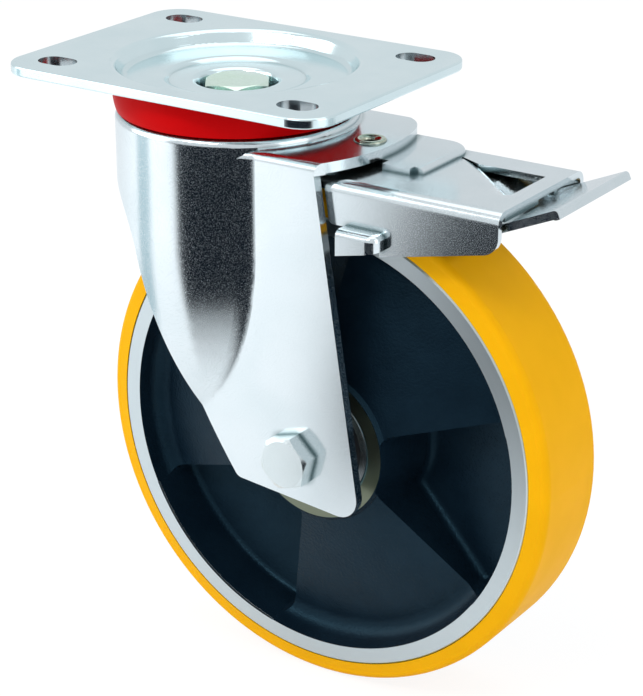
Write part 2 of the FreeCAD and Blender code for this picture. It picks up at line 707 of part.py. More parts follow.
def tread():
    inner_r = rim_radius + SEAT_GAP
    half = TREAD_WIDTH / 2
    shoulder = TREAD_SHOULDER_WIDTH / 2
    r = TREAD_SHOULDER_ROUND
    bend = r * (1 - math.cos(math.radians(45)))
    outer = wheel_radius
    return turn_about_axle(
        (inner_r, -half), (outer - r, -shoulder), ((outer - bend, -shoulder + bend), (outer, -shoulder + r)),
        (outer, shoulder - r), ((outer - bend, shoulder - bend), (outer - r, shoulder)), (inner_r, half))


# Bearings and axle set: each near piece is drawn at -Y and its partner is the mirror image

def ball_pitch_radius():
    return (BEARING_BORE / 2 + INNER_RING_WALL + BEARING_OUTSIDE / 2 - OUTER_RING_WALL) / 2


def bearing_race(gap):
    """The ring of space that the bearing's balls take, with a gap all round."""
    middle_y = -(bearing_in_y + bearing_out_y) / 2
    return Part.makeTorus(ball_pitch_radius(), BEARING_BALL / 2 + gap, V(axle_x, middle_y, axle_z), ACROSS)


def ring_about_axle(inner_r, outer_r, y_low, y_high, chamfer):
    return turn_about_axle(
        (inner_r, y_low), (outer_r - chamfer, y_low), (outer_r, y_low + chamfer),
        (outer_r, y_high - chamfer), (outer_r - chamfer, y_high), (inner_r, y_high))


def inner_ring():
    bore = BEARING_BORE / 2 + SEAT_GAP
    ring = ring_about_axle(bore, BEARING_BORE / 2 + INNER_RING_WALL, -bearing_out_y, -bearing_in_y, 0.3)
    return tidy(ring.cut(bearing_race(RUNNING_GAP)))


def outer_ring():
    outside = BEARING_OUTSIDE / 2 - SEAT_GAP
    bore = BEARING_OUTSIDE / 2 - OUTER_RING_WALL
    ring = ring_about_axle(bore, outside, -bearing_out_y, -bearing_in_y, 0.5)
    return tidy(ring.cut(bearing_race(SEAT_GAP)))


def bearing_balls():
    middle = V(axle_x, -(bearing_in_y + bearing_out_y) / 2, axle_z)
    return ring_of_balls(middle, ACROSS, V(1, 0, 0), ball_pitch_radius(), BEARING_BALL_COUNT, BEARING_BALL)


def bearing_seal():
    inner_r = BEARING_BORE / 2 + INNER_RING_WALL + RUNNING_GAP
    outer_r = BEARING_OUTSIDE / 2 - OUTER_RING_WALL - SEAT_GAP
    face = -bearing_out_y + BEARING_SEAL_INSET
    return ring_about_axle(inner_r, outer_r, face, face + BEARING_SEAL_SHEET, 0.2)


def axle_sleeve():
    return ring_about_axle(AXLE_DIAMETER / 2 + SHAFT_GAP, BEARING_BORE / 2, -leg_inner_y, leg_inner_y, 0.3)


def hub_spacer():
    bore = BEARING_BORE / 2 + SEAT_GAP
    return ring_about_axle(bore, bore + SPACER_WALL, -leg_inner_y, -bearing_out_y, 0.3)


def middle_spacer():
    bore = BEARING_BORE / 2 + SEAT_GAP
    return ring_about_axle(bore, bore + SPACER_WALL - 0.5, -bearing_in_y, bearing_in_y, 0.3)


def axle_bolt():
    base = V(axle_x, -leg_y, axle_z)
    out = V(0, -1, 0)
    head = hexagon(base, out, V(1, 0, 0), AXLE_ACROSS_FLATS, AXLE_HEAD_HEIGHT, AXLE_HEAD_TURN)
    head = round_hex_corners(head, base, out, AXLE_ACROSS_FLATS, AXLE_HEAD_HEIGHT)
    end_y = leg_y + AXLE_NUT_HEIGHT + AXLE_END_BEYOND_NUT
    shank = rod(axle_x, axle_z, -leg_y, end_y, AXLE_DIAMETER / 2)
    shank = shank.makeChamfer(1.0, [e for e in shank.Edges if e.BoundBox.YMin > end_y - 1])
    return tidy(head.fuse(shank))


def axle_nut():
    base = V(axle_x, leg_y, axle_z)
    nut = hexagon(base, ACROSS, V(1, 0, 0), AXLE_ACROSS_FLATS, AXLE_NUT_HEIGHT, AXLE_HEAD_TURN)
    nut = round_hex_corners(nut, base, ACROSS, AXLE_ACROSS_FLATS, AXLE_NUT_HEIGHT)
    hole = rod(axle_x, axle_z, leg_y - 1, leg_y + AXLE_NUT_HEIGHT + 1, AXLE_DIAMETER / 2 + SHAFT_GAP)
    return tidy(nut.cut(hole))


# Brake housing and what fastens it

def brake_housing():
    outer = housing_channel(flange_y, housing_z, HOUSING_FOLD_RADIUS)
    inner = housing_channel(flange_inner_y, housing_under_z, HOUSING_FOLD_RADIUS - HOUSING_SHEET)
    channel = outer.cut(inner).common(housing_side())
    near_lug, near_hollow = flange_lug()
    channel = channel.fuse([near_lug, mirror_across(near_lug)])
    channel = channel.cut([near_hollow, mirror_across(near_hollow)])
    channel = channel.cut(window_opening()).fuse(window_lip())
    channel = channel.fuse(end_walls())
    channel = channel.cut([
        post(rivet_x, 0, housing_under_z - 1, housing_z + 1, RIVET_RADIUS + SEAT_GAP)])
    return tidy(channel)


def housing_channel(half_width, top, fold):
    """A long block with its two upper edges rounded: the channel's outer or inner form."""
    low = -FLANGE_FRONT_DEPTH - 5
    bar = block(HOUSING_FRONT_X - 1, HOUSING_END_X + 1, -half_width, half_width, low, top)
    folds = [e for e in bar.Edges if is_level(e) and e.BoundBox.ZMin > top - 1e-4
             and e.BoundBox.XMax - e.BoundBox.XMin > 10]
    return bar.makeFillet(fold, folds)


def flange_edge_z(x):
    """Height of the flanges' rising lower edge at this x."""
    run = HOUSING_END_X - FLANGE_END_ROUND - LUG_FRONT_X
    return -FLANGE_FRONT_DEPTH + (FLANGE_FRONT_DEPTH - FLANGE_END_DEPTH) * (x - LUG_FRONT_X) / run


def leg_rear_x(z):
    """Where the legs' slanted rear edge lies at this height."""
    share = (shelf_z - z) / (shelf_z - axle_z + LEG_TIP_BELOW_AXLE)
    return LEG_REAR_X + (axle_x + LEG_TIP_REAR - LEG_REAR_X) * share


def housing_side():
    """Side view of the housing: a tongue under the shelf, then flanges that keep clear of the legs."""
    neck_z = -FLANGE_NECK_DEPTH
    tongue_z = housing_under_z - HOUSING_FOLD_RADIUS / 4
    end_x = HOUSING_END_X
    wide = flange_y + 1
    neck_x = leg_rear_x(neck_z) + FLANGE_LEG_GAP
    shape = side_plate(
        -wide, wide,
        (HOUSING_FRONT_X, housing_z + 1), (end_x, housing_z + 1), (end_x, flange_edge_z(end_x)),
        (LUG_FRONT_X, flange_edge_z(LUG_FRONT_X)), (LUG_FRONT_X, neck_z), (neck_x, neck_z),
        (leg_rear_x(tongue_z) + FLANGE_LEG_GAP, tongue_z), (HOUSING_FRONT_X, tongue_z))
    shape = shape.makeFillet(FLANGE_END_ROUND, edges_at(shape, end_x, flange_edge_z(end_x)))
    return shape.makeFillet(FLANGE_NECK_ROUND, edges_at(shape, neck_x, neck_z))


def flange_lug():
    """The pocket that is pressed out of the near flange, open to the front and below, and its hollow."""
    x0 = LUG_FRONT_X
    x1 = x0 + LUG_LENGTH
    t = HOUSING_SHEET
    y_out = -flange_y - LUG_BULGE
    y_in = -flange_inner_y
    top = lug_top_z
    low_0 = flange_edge_z(x0) + LUG_LOW_RISE
    low_1 = flange_edge_z(x1) + LUG_LOW_RISE
    lug = side_plate(y_out, -flange_y + 0.5, (x0, top), (x1, top), (x1, low_1), (x0, low_0))
    back = [e for e in lug.Edges if e.BoundBox.YMax < y_out + 1e-4 and e.BoundBox.XMin > x1 - 1e-4]
    lug = lug.makeFillet(LUG_END_ROUND, back)
    upper = [e for e in lug.Edges if e.BoundBox.ZMin > top - 1e-4 and e.BoundBox.YMin < -flange_y - 0.6
             and e.BoundBox.XMax - e.BoundBox.XMin > 0.5]
    lug = lug.makeFillet(LUG_EDGE_ROUND, upper)
    hollow = side_plate(
        y_out + t, y_in + 1,
        (x0 - 1, top - t), (x1 - t, top - t), (x1 - t, low_1 - 8), (x0 - 1, low_0 - 8))
    back = [e for e in hollow.Edges if e.BoundBox.YMax < y_out + t + 1e-4
            and e.BoundBox.XMin > x1 - t - 1e-4]
    return lug, hollow.makeFillet(LUG_END_ROUND - t, back)


def lip_frame():
    """Ends of the window's slanted side, the way along it and the way across it into the window."""
    far = V(WINDOW_LEFT_X, flange_y - FAR_RIM_WIDTH, 0)
    near = V(HOUSING_END_X - CROSS_BAR_WIDTH - 2, WINDOW_NEAR_Y, 0)
    along = (near - far).normalize()
    inward = V(-along.y, along.x, 0)
    return far, near, along, inward


def window_opening():
    """The three-cornered window, and the strip beside its slanted side where the lip bends down."""
    far, near, along, inward = lip_frame()
    run = WINDOW_LIP_RADIUS * math.sin(math.radians(WINDOW_LIP_ANGLE))
    bend_far = far - inward * run - along * 5
    bend_near = near - inward * run + along * 1.5
    bar_x = HOUSING_END_X - CROSS_BAR_WIDTH
    rim_y = flange_y - FAR_RIM_WIDTH
    points = [
        (bend_far.x, bend_far.y), (bend_near.x, bend_near.y), (bar_x, WINDOW_NEAR_Y - 1.0),
        (bar_x, rim_y), (WINDOW_LEFT_X, rim_y), (BRIDGE_END_X + 0.4, rim_y + 4.4)]
    return level_plate(housing_under_z - 2, housing_z + 1, *points)


def window_lip():
    """The lip is the sheet itself, rolled down round a line beside the window's slanted side."""
    far, near, along, inward = lip_frame()
    angle = math.radians(WINDOW_LIP_ANGLE)
    outer_r = WINDOW_LIP_RADIUS
    inner_r = outer_r - HOUSING_SHEET
    run = outer_r * math.sin(angle)
    start = far - inward * run - along * 8

    def place(across, down):
        return start + inward * across + V(0, 0, housing_z - down)

    def rim(r, a):
        return (r * math.sin(a), outer_r - r * math.cos(a))

    section = outline(
        place, rim(outer_r, 0), (rim(outer_r, angle / 2), rim(outer_r, angle)), rim(inner_r, angle),
        (rim(inner_r, angle / 2), rim(inner_r, 0)))
    strip = section.extrude(along * HOUSING_WIDTH)
    bar_x = HOUSING_END_X - CROSS_BAR_WIDTH
    rim_y = flange_y - FAR_RIM_WIDTH - PLAIN_GAP
    bounds = level_plate(
        housing_under_z - 5, housing_z + 1,
        (BRIDGE_END_X - 0.2, rim_y + 4.6), (WINDOW_LEFT_X, rim_y), (bar_x - PLAIN_GAP, rim_y),
        (bar_x - PLAIN_GAP, WINDOW_NEAR_Y - 12), (BRIDGE_END_X - 0.2, WINDOW_NEAR_Y - 12))
    return strip.common(bounds)


def end_walls():
    """The short wall that the end bar folds down to, and the single tab beside it."""
    x0 = HOUSING_END_X - HOUSING_SHEET
    low = housing_z - END_WALL_HEIGHT
    high = housing_z - 0.01
    half_tab = END_TAB_WIDTH / 2
    wall = block(x0, HOUSING_END_X, HOUSING_FOLD_RADIUS - flange_y, END_WALL_FIRST_Y, low, high)
    tab = block(x0, HOUSING_END_X, END_TAB_Y - half_tab, END_TAB_Y + half_tab, low, high)
    return [wall, tab]


def bridge_plate():
    """A flat sheet between shelf and housing, rounded down at its rear and far edges."""
    x1 = BRIDGE_END_X
    n = BRIDGE_NOTCH
    neck_x = SHELF_RADIUS + BRIDGE_NECK_GAP
    sheet = level_plate(
        housing_z, shelf_under_z,
        (HOUSING_FRONT_X, BRIDGE_NECK_Y), (neck_x, BRIDGE_NECK_Y), (neck_x, BRIDGE_NEAR_Y),
        (x1 - n, BRIDGE_NEAR_Y), (x1 - n, BRIDGE_NEAR_Y + n - 1),
        (x1, BRIDGE_NEAR_Y + n - 1), (x1, BRIDGE_FAR_Y), (HOUSING_FRONT_X, BRIDGE_FAR_Y))
    far_corner = [e for e in sheet.Edges if e.BoundBox.XMin > x1 - 1e-4
                  and e.BoundBox.YMin > BRIDGE_FAR_Y - 1e-4]
    sheet = sheet.makeFillet(BRIDGE_FAR_ROUND, far_corner)
    rear = [e for e in sheet.Edges if is_level(e) and e.BoundBox.ZMin > shelf_under_z - 1e-4
            and e.BoundBox.XMax > x1 - 1e-4 and e.BoundBox.YMax > BRIDGE_NEAR_Y + n]
    sheet = sheet.makeFillet(BRIDGE_SHEET - 0.4, rear)
    hole = post(rivet_x, 0, housing_z - 1, shelf_under_z + 1, RIVET_RADIUS + SEAT_GAP)
    return tidy(sheet.cut(hole))


def shelf_rivet():
    """A hollow rivet, rolled over on the shelf and under the housing."""
    r = RIVET_RADIUS
    rim = RIVET_FLANGE_RADIUS
    f = RIVET_FLANGE
    bore = RIVET_BORE_RADIUS
    section = outline(
        lambda a, b: V(rivet_x + a, 0, b),
        (bore, housing_under_z - f), (rim - 0.5, housing_under_z - f), (rim, housing_under_z),
        (r, housing_under_z), (r, shelf_z), (rim, shelf_z),
        ((rim - f * 0.3, shelf_z + f * 0.7), (rim - f, shelf_z + f)),
        ((bore + 1.0, shelf_z + f * 0.8), (bore, shelf_z - 0.5)))
    return section.revolve(V(rivet_x, 0, 0), UP, 360)


# Brake lever

def about_pivot(shape, angle):
    """Turn a shape about the pivot. A positive angle takes the pedal down."""
    return shape.rotated(V(PIVOT_X, 0, pivot_z), ACROSS, angle)


def pivot_pins():
    outer = flange_inner_y
    pin = rod(PIVOT_X, pivot_z, -outer, -outer + PIVOT_PIN_LENGTH, PIVOT_RADIUS)
    return Part.makeCompound([pin, mirror_across(pin)])


def pedal_profile():
    """Side view of the lever's sheet: flat over the pivot, down to a low point, then up to the tip."""
    t = LEVER_SHEET
    low_z = lever_z - PEDAL_LOW_DROP
    slope = math.atan2(PEDAL_TIP_RISE, PEDAL_TIP_X - PEDAL_LOW_X)
    tip_z = low_z + PEDAL_TIP_RISE

    def beside_tip(back, down):
        x = PEDAL_TIP_X - back * math.cos(slope) + down * math.sin(slope)
        z = tip_z - back * math.sin(slope) - down * math.cos(slope)
        return (x, z)

    return [
        (LEVER_FRONT_X, lever_z), (LEVER_FLAT_END_X, lever_z), (PEDAL_LOW_X, low_z),
        beside_tip(0, 0), beside_tip(0, PEDAL_LIP), beside_tip(PEDAL_LIP_SHEET, PEDAL_LIP),
        beside_tip(PEDAL_LIP_SHEET, t), (PEDAL_LOW_X + 0.6, low_z - t),
        (LEVER_FLAT_END_X - 0.4, lever_under_z), (LEVER_FRONT_X, lever_under_z)]


def brake_pedal():
    half = pedal_half
    profile = pedal_profile()
    sheet = side_plate(-half, half, *profile)
    sheet = sheet.makeFillet(PEDAL_TIP_ROUND, edges_at(sheet, *profile[3]))
    ear = pedal_ear()
    lever = sheet.fuse([ear, mirror_across(ear)])
    lever = lever.cut(spring_slot())
    return tidy(lever.cut(lever_rivet_holes(LEVER_RIVET_RADIUS + SEAT_GAP)))


def spring_slot():
    """The notch in the lever's front edge that leaves room for the spring's coil."""
    reach = PIVOT_RADIUS + RUNNING_GAP + SPRING_WIRE + PLAIN_GAP
    y0 = -pedal_half + PLAIN_GAP + LEVER_SHEET
    y1 = y0 + SPRING_WIRE * (SPRING_TURNS + 2)
    return block(LEVER_FRONT_X - 1, PIVOT_X + reach, y0, y1, lever_under_z - 1, lever_z + 1)


def pedal_ear():
    """The near ear: a folded-down cheek with a round end about the pivot."""
    y0 = -pedal_half + PLAIN_GAP
    y1 = y0 + LEVER_SHEET
    r = EAR_ROUND
    cheek = side_plate(
        y0, y1,
        (PIVOT_X, pivot_z + r), (PIVOT_X + 2, lever_z - 0.5), (EAR_END_X, lever_z - 0.5),
        (EAR_END_X, lever_under_z - 3), (PIVOT_X + 4, pivot_z - r + 0.8), (PIVOT_X, pivot_z - r))
    cheek = cheek.fuse(rod(PIVOT_X, pivot_z, y0, y1, r))
    return cheek.cut(rod(PIVOT_X, pivot_z, y0 - 1, y1 + 1, PIVOT_RADIUS + SHAFT_GAP))


def lever_rivet_holes(radius):
    half = LEVER_RIVET_SPACING / 2
    return [post(LEVER_RIVET_X, sign * half, shoe_under_z - 1, lever_z + 1, radius) for sign in (-1, 1)]


def lock_arm():
    """The long arm under the lever. Its upturned tongue rises into a notch of the tooth ring."""
    half = ARM_WIDTH / 2
    tongue = TONGUE_WIDTH / 2
    tip_x = TOOTH_RING_RADIUS - TONGUE_INSET - TONGUE_LENGTH
    wide_x = TOOTH_RING_RADIUS + 3
    arm = level_plate(
        arm_under_z, lever_under_z,
        (tip_x, -tongue), (wide_x, -tongue), (wide_x + 5, -half), (ARM_END_X, -half),
        (ARM_END_X, half), (wide_x + 5, half), (wide_x, tongue), (tip_x, tongue))
    tip = block(tip_x, tip_x + TONGUE_LENGTH, -tongue, tongue, arm_under_z, lever_under_z + TONGUE_HEIGHT)
    arm = arm.fuse(tip)
    return tidy(arm.cut(lever_rivet_holes(LEVER_RIVET_RADIUS + SEAT_GAP)))


def shoe_point(radius, angle):
    """A point at this radius about the axle, angle from straight up, in the (x, z) plane."""
    a = math.radians(angle)
    return (axle_x + radius * math.sin(a), axle_z + radius * math.cos(a))


def brake_shoe():
    """A folded steel shoe. Its pad is drawn where it grips the tread, then turned back by the travel."""
    t = SHOE_SHEET
    half = SHOE_WIDTH / 2
    near_r = wheel_radius + RUNNING_GAP
    far_r = near_r + t
    first = SHOE_FIRST_ANGLE
    last = SHOE_LAST_ANGLE
    middle = (first + last) / 2
    pad = side_plate(
        -half, half,
        shoe_point(near_r, first), (shoe_point(near_r, middle), shoe_point(near_r, last)),
        shoe_point(far_r, last), (shoe_point(far_r, middle), shoe_point(far_r, first)))
    pad = about_pivot(pad, -PEDAL_TRAVEL)
    heel = rest_point(shoe_point(near_r + t / 2, last - 0.8))
    knee_x = SHOE_KNEE_X
    leg = side_plate(
        -half, half,
        (knee_x - t, arm_under_z), (knee_x, arm_under_z), (heel[0] + t / 2, heel[1] + 0.5),
        (heel[0] - t / 2, heel[1] - 0.3), (knee_x - t, shoe_under_z))
    flange = block(SHOE_FRONT_X, knee_x, -half, half, shoe_under_z, arm_under_z)
    shoe = flange.fuse([leg, pad])
    return tidy(shoe.cut(lever_rivet_holes(LEVER_RIVET_RADIUS + SEAT_GAP)))


def rest_point(point):
    """Where an (x, z) point of the gripping lever lies when the lever is at rest."""
    turned = about_pivot(Part.Vertex(V(point[0], 0, point[1])), -PEDAL_TRAVEL)
    return (turned.Point.x, turned.Point.z)


def lever_rivets():
    half = LEVER_RIVET_SPACING / 2
    rivets = []
    for sign in (-1, 1):
        y = sign * half
        shank = post(LEVER_RIVET_X, y, shoe_under_z - 0.1, lever_z, LEVER_RIVET_RADIUS)
        head = post(LEVER_RIVET_X, y, shoe_under_z - 1.6, shoe_under_z, LEVER_RIVET_HEAD_RADIUS)
        low = [e for e in head.Edges if is_level(e) and e.BoundBox.ZMax < shoe_under_z - 1]
        rivets.append(tidy(shank.fuse(head.makeChamfer(0.9, low))))
    return Part.makeCompound(rivets)


def wrap_angle(end, radius, side):
    """The angle about the pivot at which a straight wire from this end meets the coil."""
    dx = end[0] - PIVOT_X
    dz = end[1] - pivot_z
    return math.degrees(math.atan2(dz, dx) + side * math.acos(radius / math.hypot(dx, dz)))


def spring_path():
    """The wire's centre line: a straight leg under the lever, the coil, and a leg up to the housing."""
    wire = SPRING_WIRE / 2
    coil_r = PIVOT_RADIUS + RUNNING_GAP + wire
    y0 = -pedal_half + PLAIN_GAP + LEVER_SHEET + RUNNING_GAP + wire
    lever_end = (PIVOT_X + SPRING_LEVER_REACH, lever_under_z - wire - SEAT_GAP)
    housing_end = (PIVOT_X - SPRING_HOUSING_REACH, housing_under_z - wire - SEAT_GAP)
    first = wrap_angle(lever_end, coil_r, -1)
    last = wrap_angle(housing_end, coil_r, 1)
    turns = SPRING_TURNS + ((first - last) % 360) / 360
    count = round(turns * SPRING_BENDS_PER_TURN)
    width = SPRING_WIRE * SPRING_PITCH_RATIO * turns
    points = [V(lever_end[0], y0, lever_end[1])]
    for i in range(count + 1):
        share = i / count
        a = math.radians(first - 360 * turns * share)
        points.append(V(PIVOT_X + coil_r * math.cos(a), y0 + width * share, pivot_z + coil_r * math.sin(a)))
    return points + [V(housing_end[0], y0 + width, housing_end[1])]


def return_spring():
    """A torsion spring round the near pivot pin. One end bears on the lever, the other on the housing."""
    path = spring_path()
    way = (path[1] - path[0]).normalize()
    across = V(*ACROSS)
    rise = way.cross(across)
    wire = SPRING_WIRE / 2
    corners = []
    for i in range(SPRING_WIRE_SIDES + 1):
        a = 2 * math.pi * i / SPRING_WIRE_SIDES
        corners.append(path[0] + across * (wire * math.cos(a)) + rise * (wire * math.sin(a)))
    section = Part.makePolygon(corners)
    return Part.makePolygon(path).makePipeShell([section], True, False, 1)


PIECES = {
    "top_plate": top_plate,
    "king_bolt": king_bolt,
    "king_nut": king_nut,
    "lower_race": lower_race,
    "upper_balls": upper_balls,
    "lower_balls": lower_balls,
    "dust_seal": dust_seal,
    "fork": fork,
    "wheel_core": wheel_core,
    "tread": tread,
    "axle_sleeve": axle_sleeve,
    "middle_spacer": middle_spacer,
    "axle_bolt": axle_bolt,
    "axle_nut": axle_nut,
    "brake_housing": brake_housing,
    "bridge_plate": bridge_plate,
    "shelf_rivet": shelf_rivet,
    "pivot_pins": pivot_pins,
    "return_spring": return_spring,
    "brake_pedal": brake_pedal,
    "lock_arm": lock_arm,
    "brake_shoe": brake_shoe,
    "lever_rivets": lever_rivets,
}

# Pieces that the wheel has on both sides: drawn on the near side and mirrored to the far side
PAIRS = {
    "hub_spacer": hub_spacer,
    "inner_ring": inner_ring,
    "outer_ring": outer_ring,
    "bearing_balls": bearing_balls,
    "bearing_seal": bearing_seal,
}


def write_parts():
    os.makedirs("parts", exist_ok=True)
    shapes = {}
    for name, make in PIECES.items():
        shapes[name] = make()
    for name, make in PAIRS.items():
        near = make()
        shapes[name + "_near"] = near
        shapes[name + "_far"] = mirror_across(near)
    for name, shape in shapes.items():
        shape.exportStep("parts/%s.step" % name)
        box = shape.BoundBox
        print("%-20s %2d solids, %8.0f mm3, z %.1f to %.1f, valid %s"
              % (name, len(shape.Solids), shape.Volume, box.ZMin, box.ZMax, shape.isValid()))


write_parts()
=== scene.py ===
# %% [markdown]
# # A swivel castor with a foot brake
#
# This lesson dresses a finished CAD model of a heavy castor so that it looks like a studio photograph of
# it. The castor bolts under a machine or trolley. Its fork turns on two rows of balls, its wheel has a
# black cast core with an amber tread, and a foot pedal stops both motions.
#
# The CAD solids arrive as a fixed frame, in metres, with the origin at the centre of the mounting plate's
# top face. Nothing below moves them. What the lesson adds is finish: metal that looks plated, rubber that
# looks moulded, iron that looks cast, and the light of a photographer's table.

# %% Load the frame
import json
import math
import bpy
from mathutils import Matrix, Vector


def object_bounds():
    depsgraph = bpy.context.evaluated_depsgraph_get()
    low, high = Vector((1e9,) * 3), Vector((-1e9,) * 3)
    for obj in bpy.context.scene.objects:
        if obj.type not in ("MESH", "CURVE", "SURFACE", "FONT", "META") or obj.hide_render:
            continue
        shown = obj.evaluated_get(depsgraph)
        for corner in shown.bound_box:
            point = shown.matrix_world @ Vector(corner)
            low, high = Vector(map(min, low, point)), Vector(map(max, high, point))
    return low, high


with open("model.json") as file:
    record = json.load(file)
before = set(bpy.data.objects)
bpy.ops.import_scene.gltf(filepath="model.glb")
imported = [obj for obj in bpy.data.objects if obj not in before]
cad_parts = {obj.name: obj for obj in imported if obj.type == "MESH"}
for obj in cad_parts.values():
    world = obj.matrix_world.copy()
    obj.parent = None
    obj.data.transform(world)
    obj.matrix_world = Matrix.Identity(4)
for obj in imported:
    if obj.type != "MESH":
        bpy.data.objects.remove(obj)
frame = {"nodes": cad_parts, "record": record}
cad_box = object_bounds()
nodes = frame["nodes"]
print("box in mm", [[round(v * 1000, 1) for v in corner] for corner in cad_box])

# %% [markdown]
# ## Camera
#
# A photograph of a small product is taken from some way off with a long lens, so that the plate's far
# edge is hardly smaller than its near one. The camera's place and focal length were found by matching the
# plate's corners and slots, the tread's outline and the axle bolt to where they lie in the picture. The
# view is written as one direction, and the camera's right and up follow from it, so there is no guess
# about rotation order.

# %% Camera
LENS_MM = 118.99
SENSOR_MM = 36.0
NEAR_CLIP = 0.05
CAMERA_PLACE = Vector((0.499226, -0.691649, 0.225772))
LOOK = Vector((-0.51397551, 0.7717421, -0.37449072))


def place_camera():
    data = bpy.data.cameras.new("camera")
    data.lens = LENS_MM
    data.sensor_width = SENSOR_MM
    data.clip_start = NEAR_CLIP
    camera = bpy.data.objects.new("camera", data)
    bpy.context.collection.objects.link(camera)
    right = LOOK.cross(Vector((0, 0, 1))).normalized()
    up = right.cross(LOOK).normalized()
    turn = Matrix((right, up, -LOOK.normalized())).transposed()
    camera.matrix_world = Matrix.Translation(CAMERA_PLACE) @ turn.to_4x4()
    bpy.context.scene.camera = camera


place_camera()
print("camera distance in m", round(CAMERA_PLACE.length, 3))

# %% [markdown]
# ## Helpers for materials
#
# Every finish below is grown from noise in the object's own space, which is the castor's own metres. So a
# noise scale of 400 is a pattern about 2.5 mm across, whatever the piece. A new finish always starts the
# same way: a material, its shader, and one coordinate node. These helpers keep that start in one place.
# The floor, the world and the cards have no such shader. Each of them ends in a blend of two simple ones,
# so that has a helper too.

# %% Material helpers
def start_material(name, color, metallic, roughness, shine=0.5):
    """A new material, with its node tree, its shader and the object's own coordinates."""
    material = bpy.data.materials.new(name)
    material.use_nodes = True
    tree = material.node_tree
    shader = tree.nodes["Principled BSDF"]
    shader.inputs["Base Color"].default_value = (*color, 1)
    shader.inputs["Metallic"].default_value = metallic
    shader.inputs["Roughness"].default_value = roughness
    shader.inputs["Specular IOR Level"].default_value = shine
    coords = tree.nodes.new("ShaderNodeTexCoord")
    return material, tree, shader, coords.outputs["Object"]


def empty_material(name):
    """A new material without nodes, and its tree."""
    material = bpy.data.materials.new(name)
    material.use_nodes = True
    material.node_tree.nodes.clear()
    return material, material.node_tree


def end_in_blend(tree, kind, share, first, second):
    """Ends a tree in a blend of two shaders: share 0 shows the first, share 1 the second."""
    out = tree.nodes.new(kind)
    mix = tree.nodes.new("ShaderNodeMixShader")
    tree.links.new(share, mix.inputs["Fac"])
    tree.links.new(first, mix.inputs[1])
    tree.links.new(second, mix.inputs[2])
    tree.links.new(mix.outputs["Shader"], out.inputs["Surface"])


def noise(tree, coords, scale, detail=3.0, roughness=0.55):
    """Noise between 0 and 1. The scale is in ups and downs per metre."""
    node = tree.nodes.new("ShaderNodeTexNoise")
    node.inputs["Scale"].default_value = scale
    node.inputs["Detail"].default_value = detail
    node.inputs["Roughness"].default_value = roughness
    tree.links.new(coords, node.inputs["Vector"])
    return node.outputs["Fac"]


def remap(tree, value, low, high, to_low, to_high):
    """Stretches a range of a value to another range."""
    node = tree.nodes.new("ShaderNodeMapRange")
    node.inputs["From Min"].default_value = low
    node.inputs["From Max"].default_value = high
    node.inputs["To Min"].default_value = to_low
    node.inputs["To Max"].default_value = to_high
    tree.links.new(value, node.inputs["Value"])
    return node.outputs["Result"]


def mix_colors(tree, share, first, second):
    """A colour between two, each a plain colour or another node's output."""
    node = tree.nodes.new("ShaderNodeMix")
    node.data_type = "RGBA"
    tree.links.new(share, node.inputs["Factor"])
    for name, color in (("A", first), ("B", second)):
        socket = [s for s in node.inputs if s.name == name and s.type == "RGBA"][0]
        if isinstance(color, tuple):
            socket.default_value = (*color, 1)
        else:
            tree.links.new(color, socket)
    return [s for s in node.outputs if s.type == "RGBA"][0]


def math_node(tree, operation, *values):
    """One step of arithmetic on numbers or on other nodes' outputs."""
    node = tree.nodes.new("ShaderNodeMath")
    node.operation = operation
    for socket, value in zip(node.inputs, values):
        if isinstance(value, (int, float)):
            socket.default_value = value
        else:
            tree.links.new(value, socket)
    return node.outputs["Value"]


def bump(tree, shader, height, depth, strength=1.0):
    """Raises the surface by the height value, up to this depth in metres."""
    node = tree.nodes.new("ShaderNodeBump")
    node.inputs["Strength"].default_value = strength
    node.inputs["Distance"].default_value = depth
    tree.links.new(height, node.inputs["Height"])
    tree.links.new(node.outputs["Normal"], shader.inputs["Normal"])


print("material helpers ready")

# %% [markdown]
# ## Floor and backdrop
#
# The photograph has a white ground with no horizon. A single large sheet that lies under the wheel gives
# that, and it also catches a soft contact shadow, which tells the eye that the castor has weight. The
# sheet is white to the camera because a part of its light towards the camera is its own. Light that the
# sheet throws on the metal stays at the level of painted paper, because the metal would otherwise lose
# its shape.

# %% Floor
FLOOR_HALF = 3.0
FLOOR_DROP = 0.0004
PAPER = (0.90, 0.91, 0.92)
GLOW_LEVEL = 1.05
GLOW_SHARE = 0.84


def white_sheet_material():
    material, tree = empty_material("white_sheet")
    paper = tree.nodes.new("ShaderNodeBsdfDiffuse")
    paper.inputs["Color"].default_value = (*PAPER, 1)
    glow = tree.nodes.new("ShaderNodeEmission")
    glow.inputs["Color"].default_value = (1, 1, 1, 1)
    glow.inputs["Strength"].default_value = GLOW_LEVEL
    seen = tree.nodes.new("ShaderNodeLightPath").outputs["Is Camera Ray"]
    share = math_node(tree, "MULTIPLY", seen, GLOW_SHARE)
    end_in_blend(tree, "ShaderNodeOutputMaterial", share, paper.outputs["BSDF"], glow.outputs["Emission"])
    return material


def lay_floor():
    z = cad_box[0][2] - FLOOR_DROP
    h = FLOOR_HALF
    mesh = bpy.data.meshes.new("floor")
    mesh.from_pydata([(-h, -h, z), (h, -h, z), (h, h, z), (-h, h, z)], [], [(0, 1, 2, 3)])
    floor = bpy.data.objects.new("floor", mesh)
    bpy.context.collection.objects.link(floor)
    mesh.materials.append(white_sheet_material())
    return floor


floor = lay_floor()
print("floor height in mm", round(floor.data.vertices[0].co.z * 1000, 2))

# %% [markdown]
# ## The room
#
# Plated steel has hardly any colour of its own, and shows what stands round it. So the room is an even
# pale grey with a breath of blue, the colour of a studio's walls. The camera itself sees plain white
# where the sheet ends, which makes the picture's ground the same all over. Colours are shown as they are,
# with no film curve.

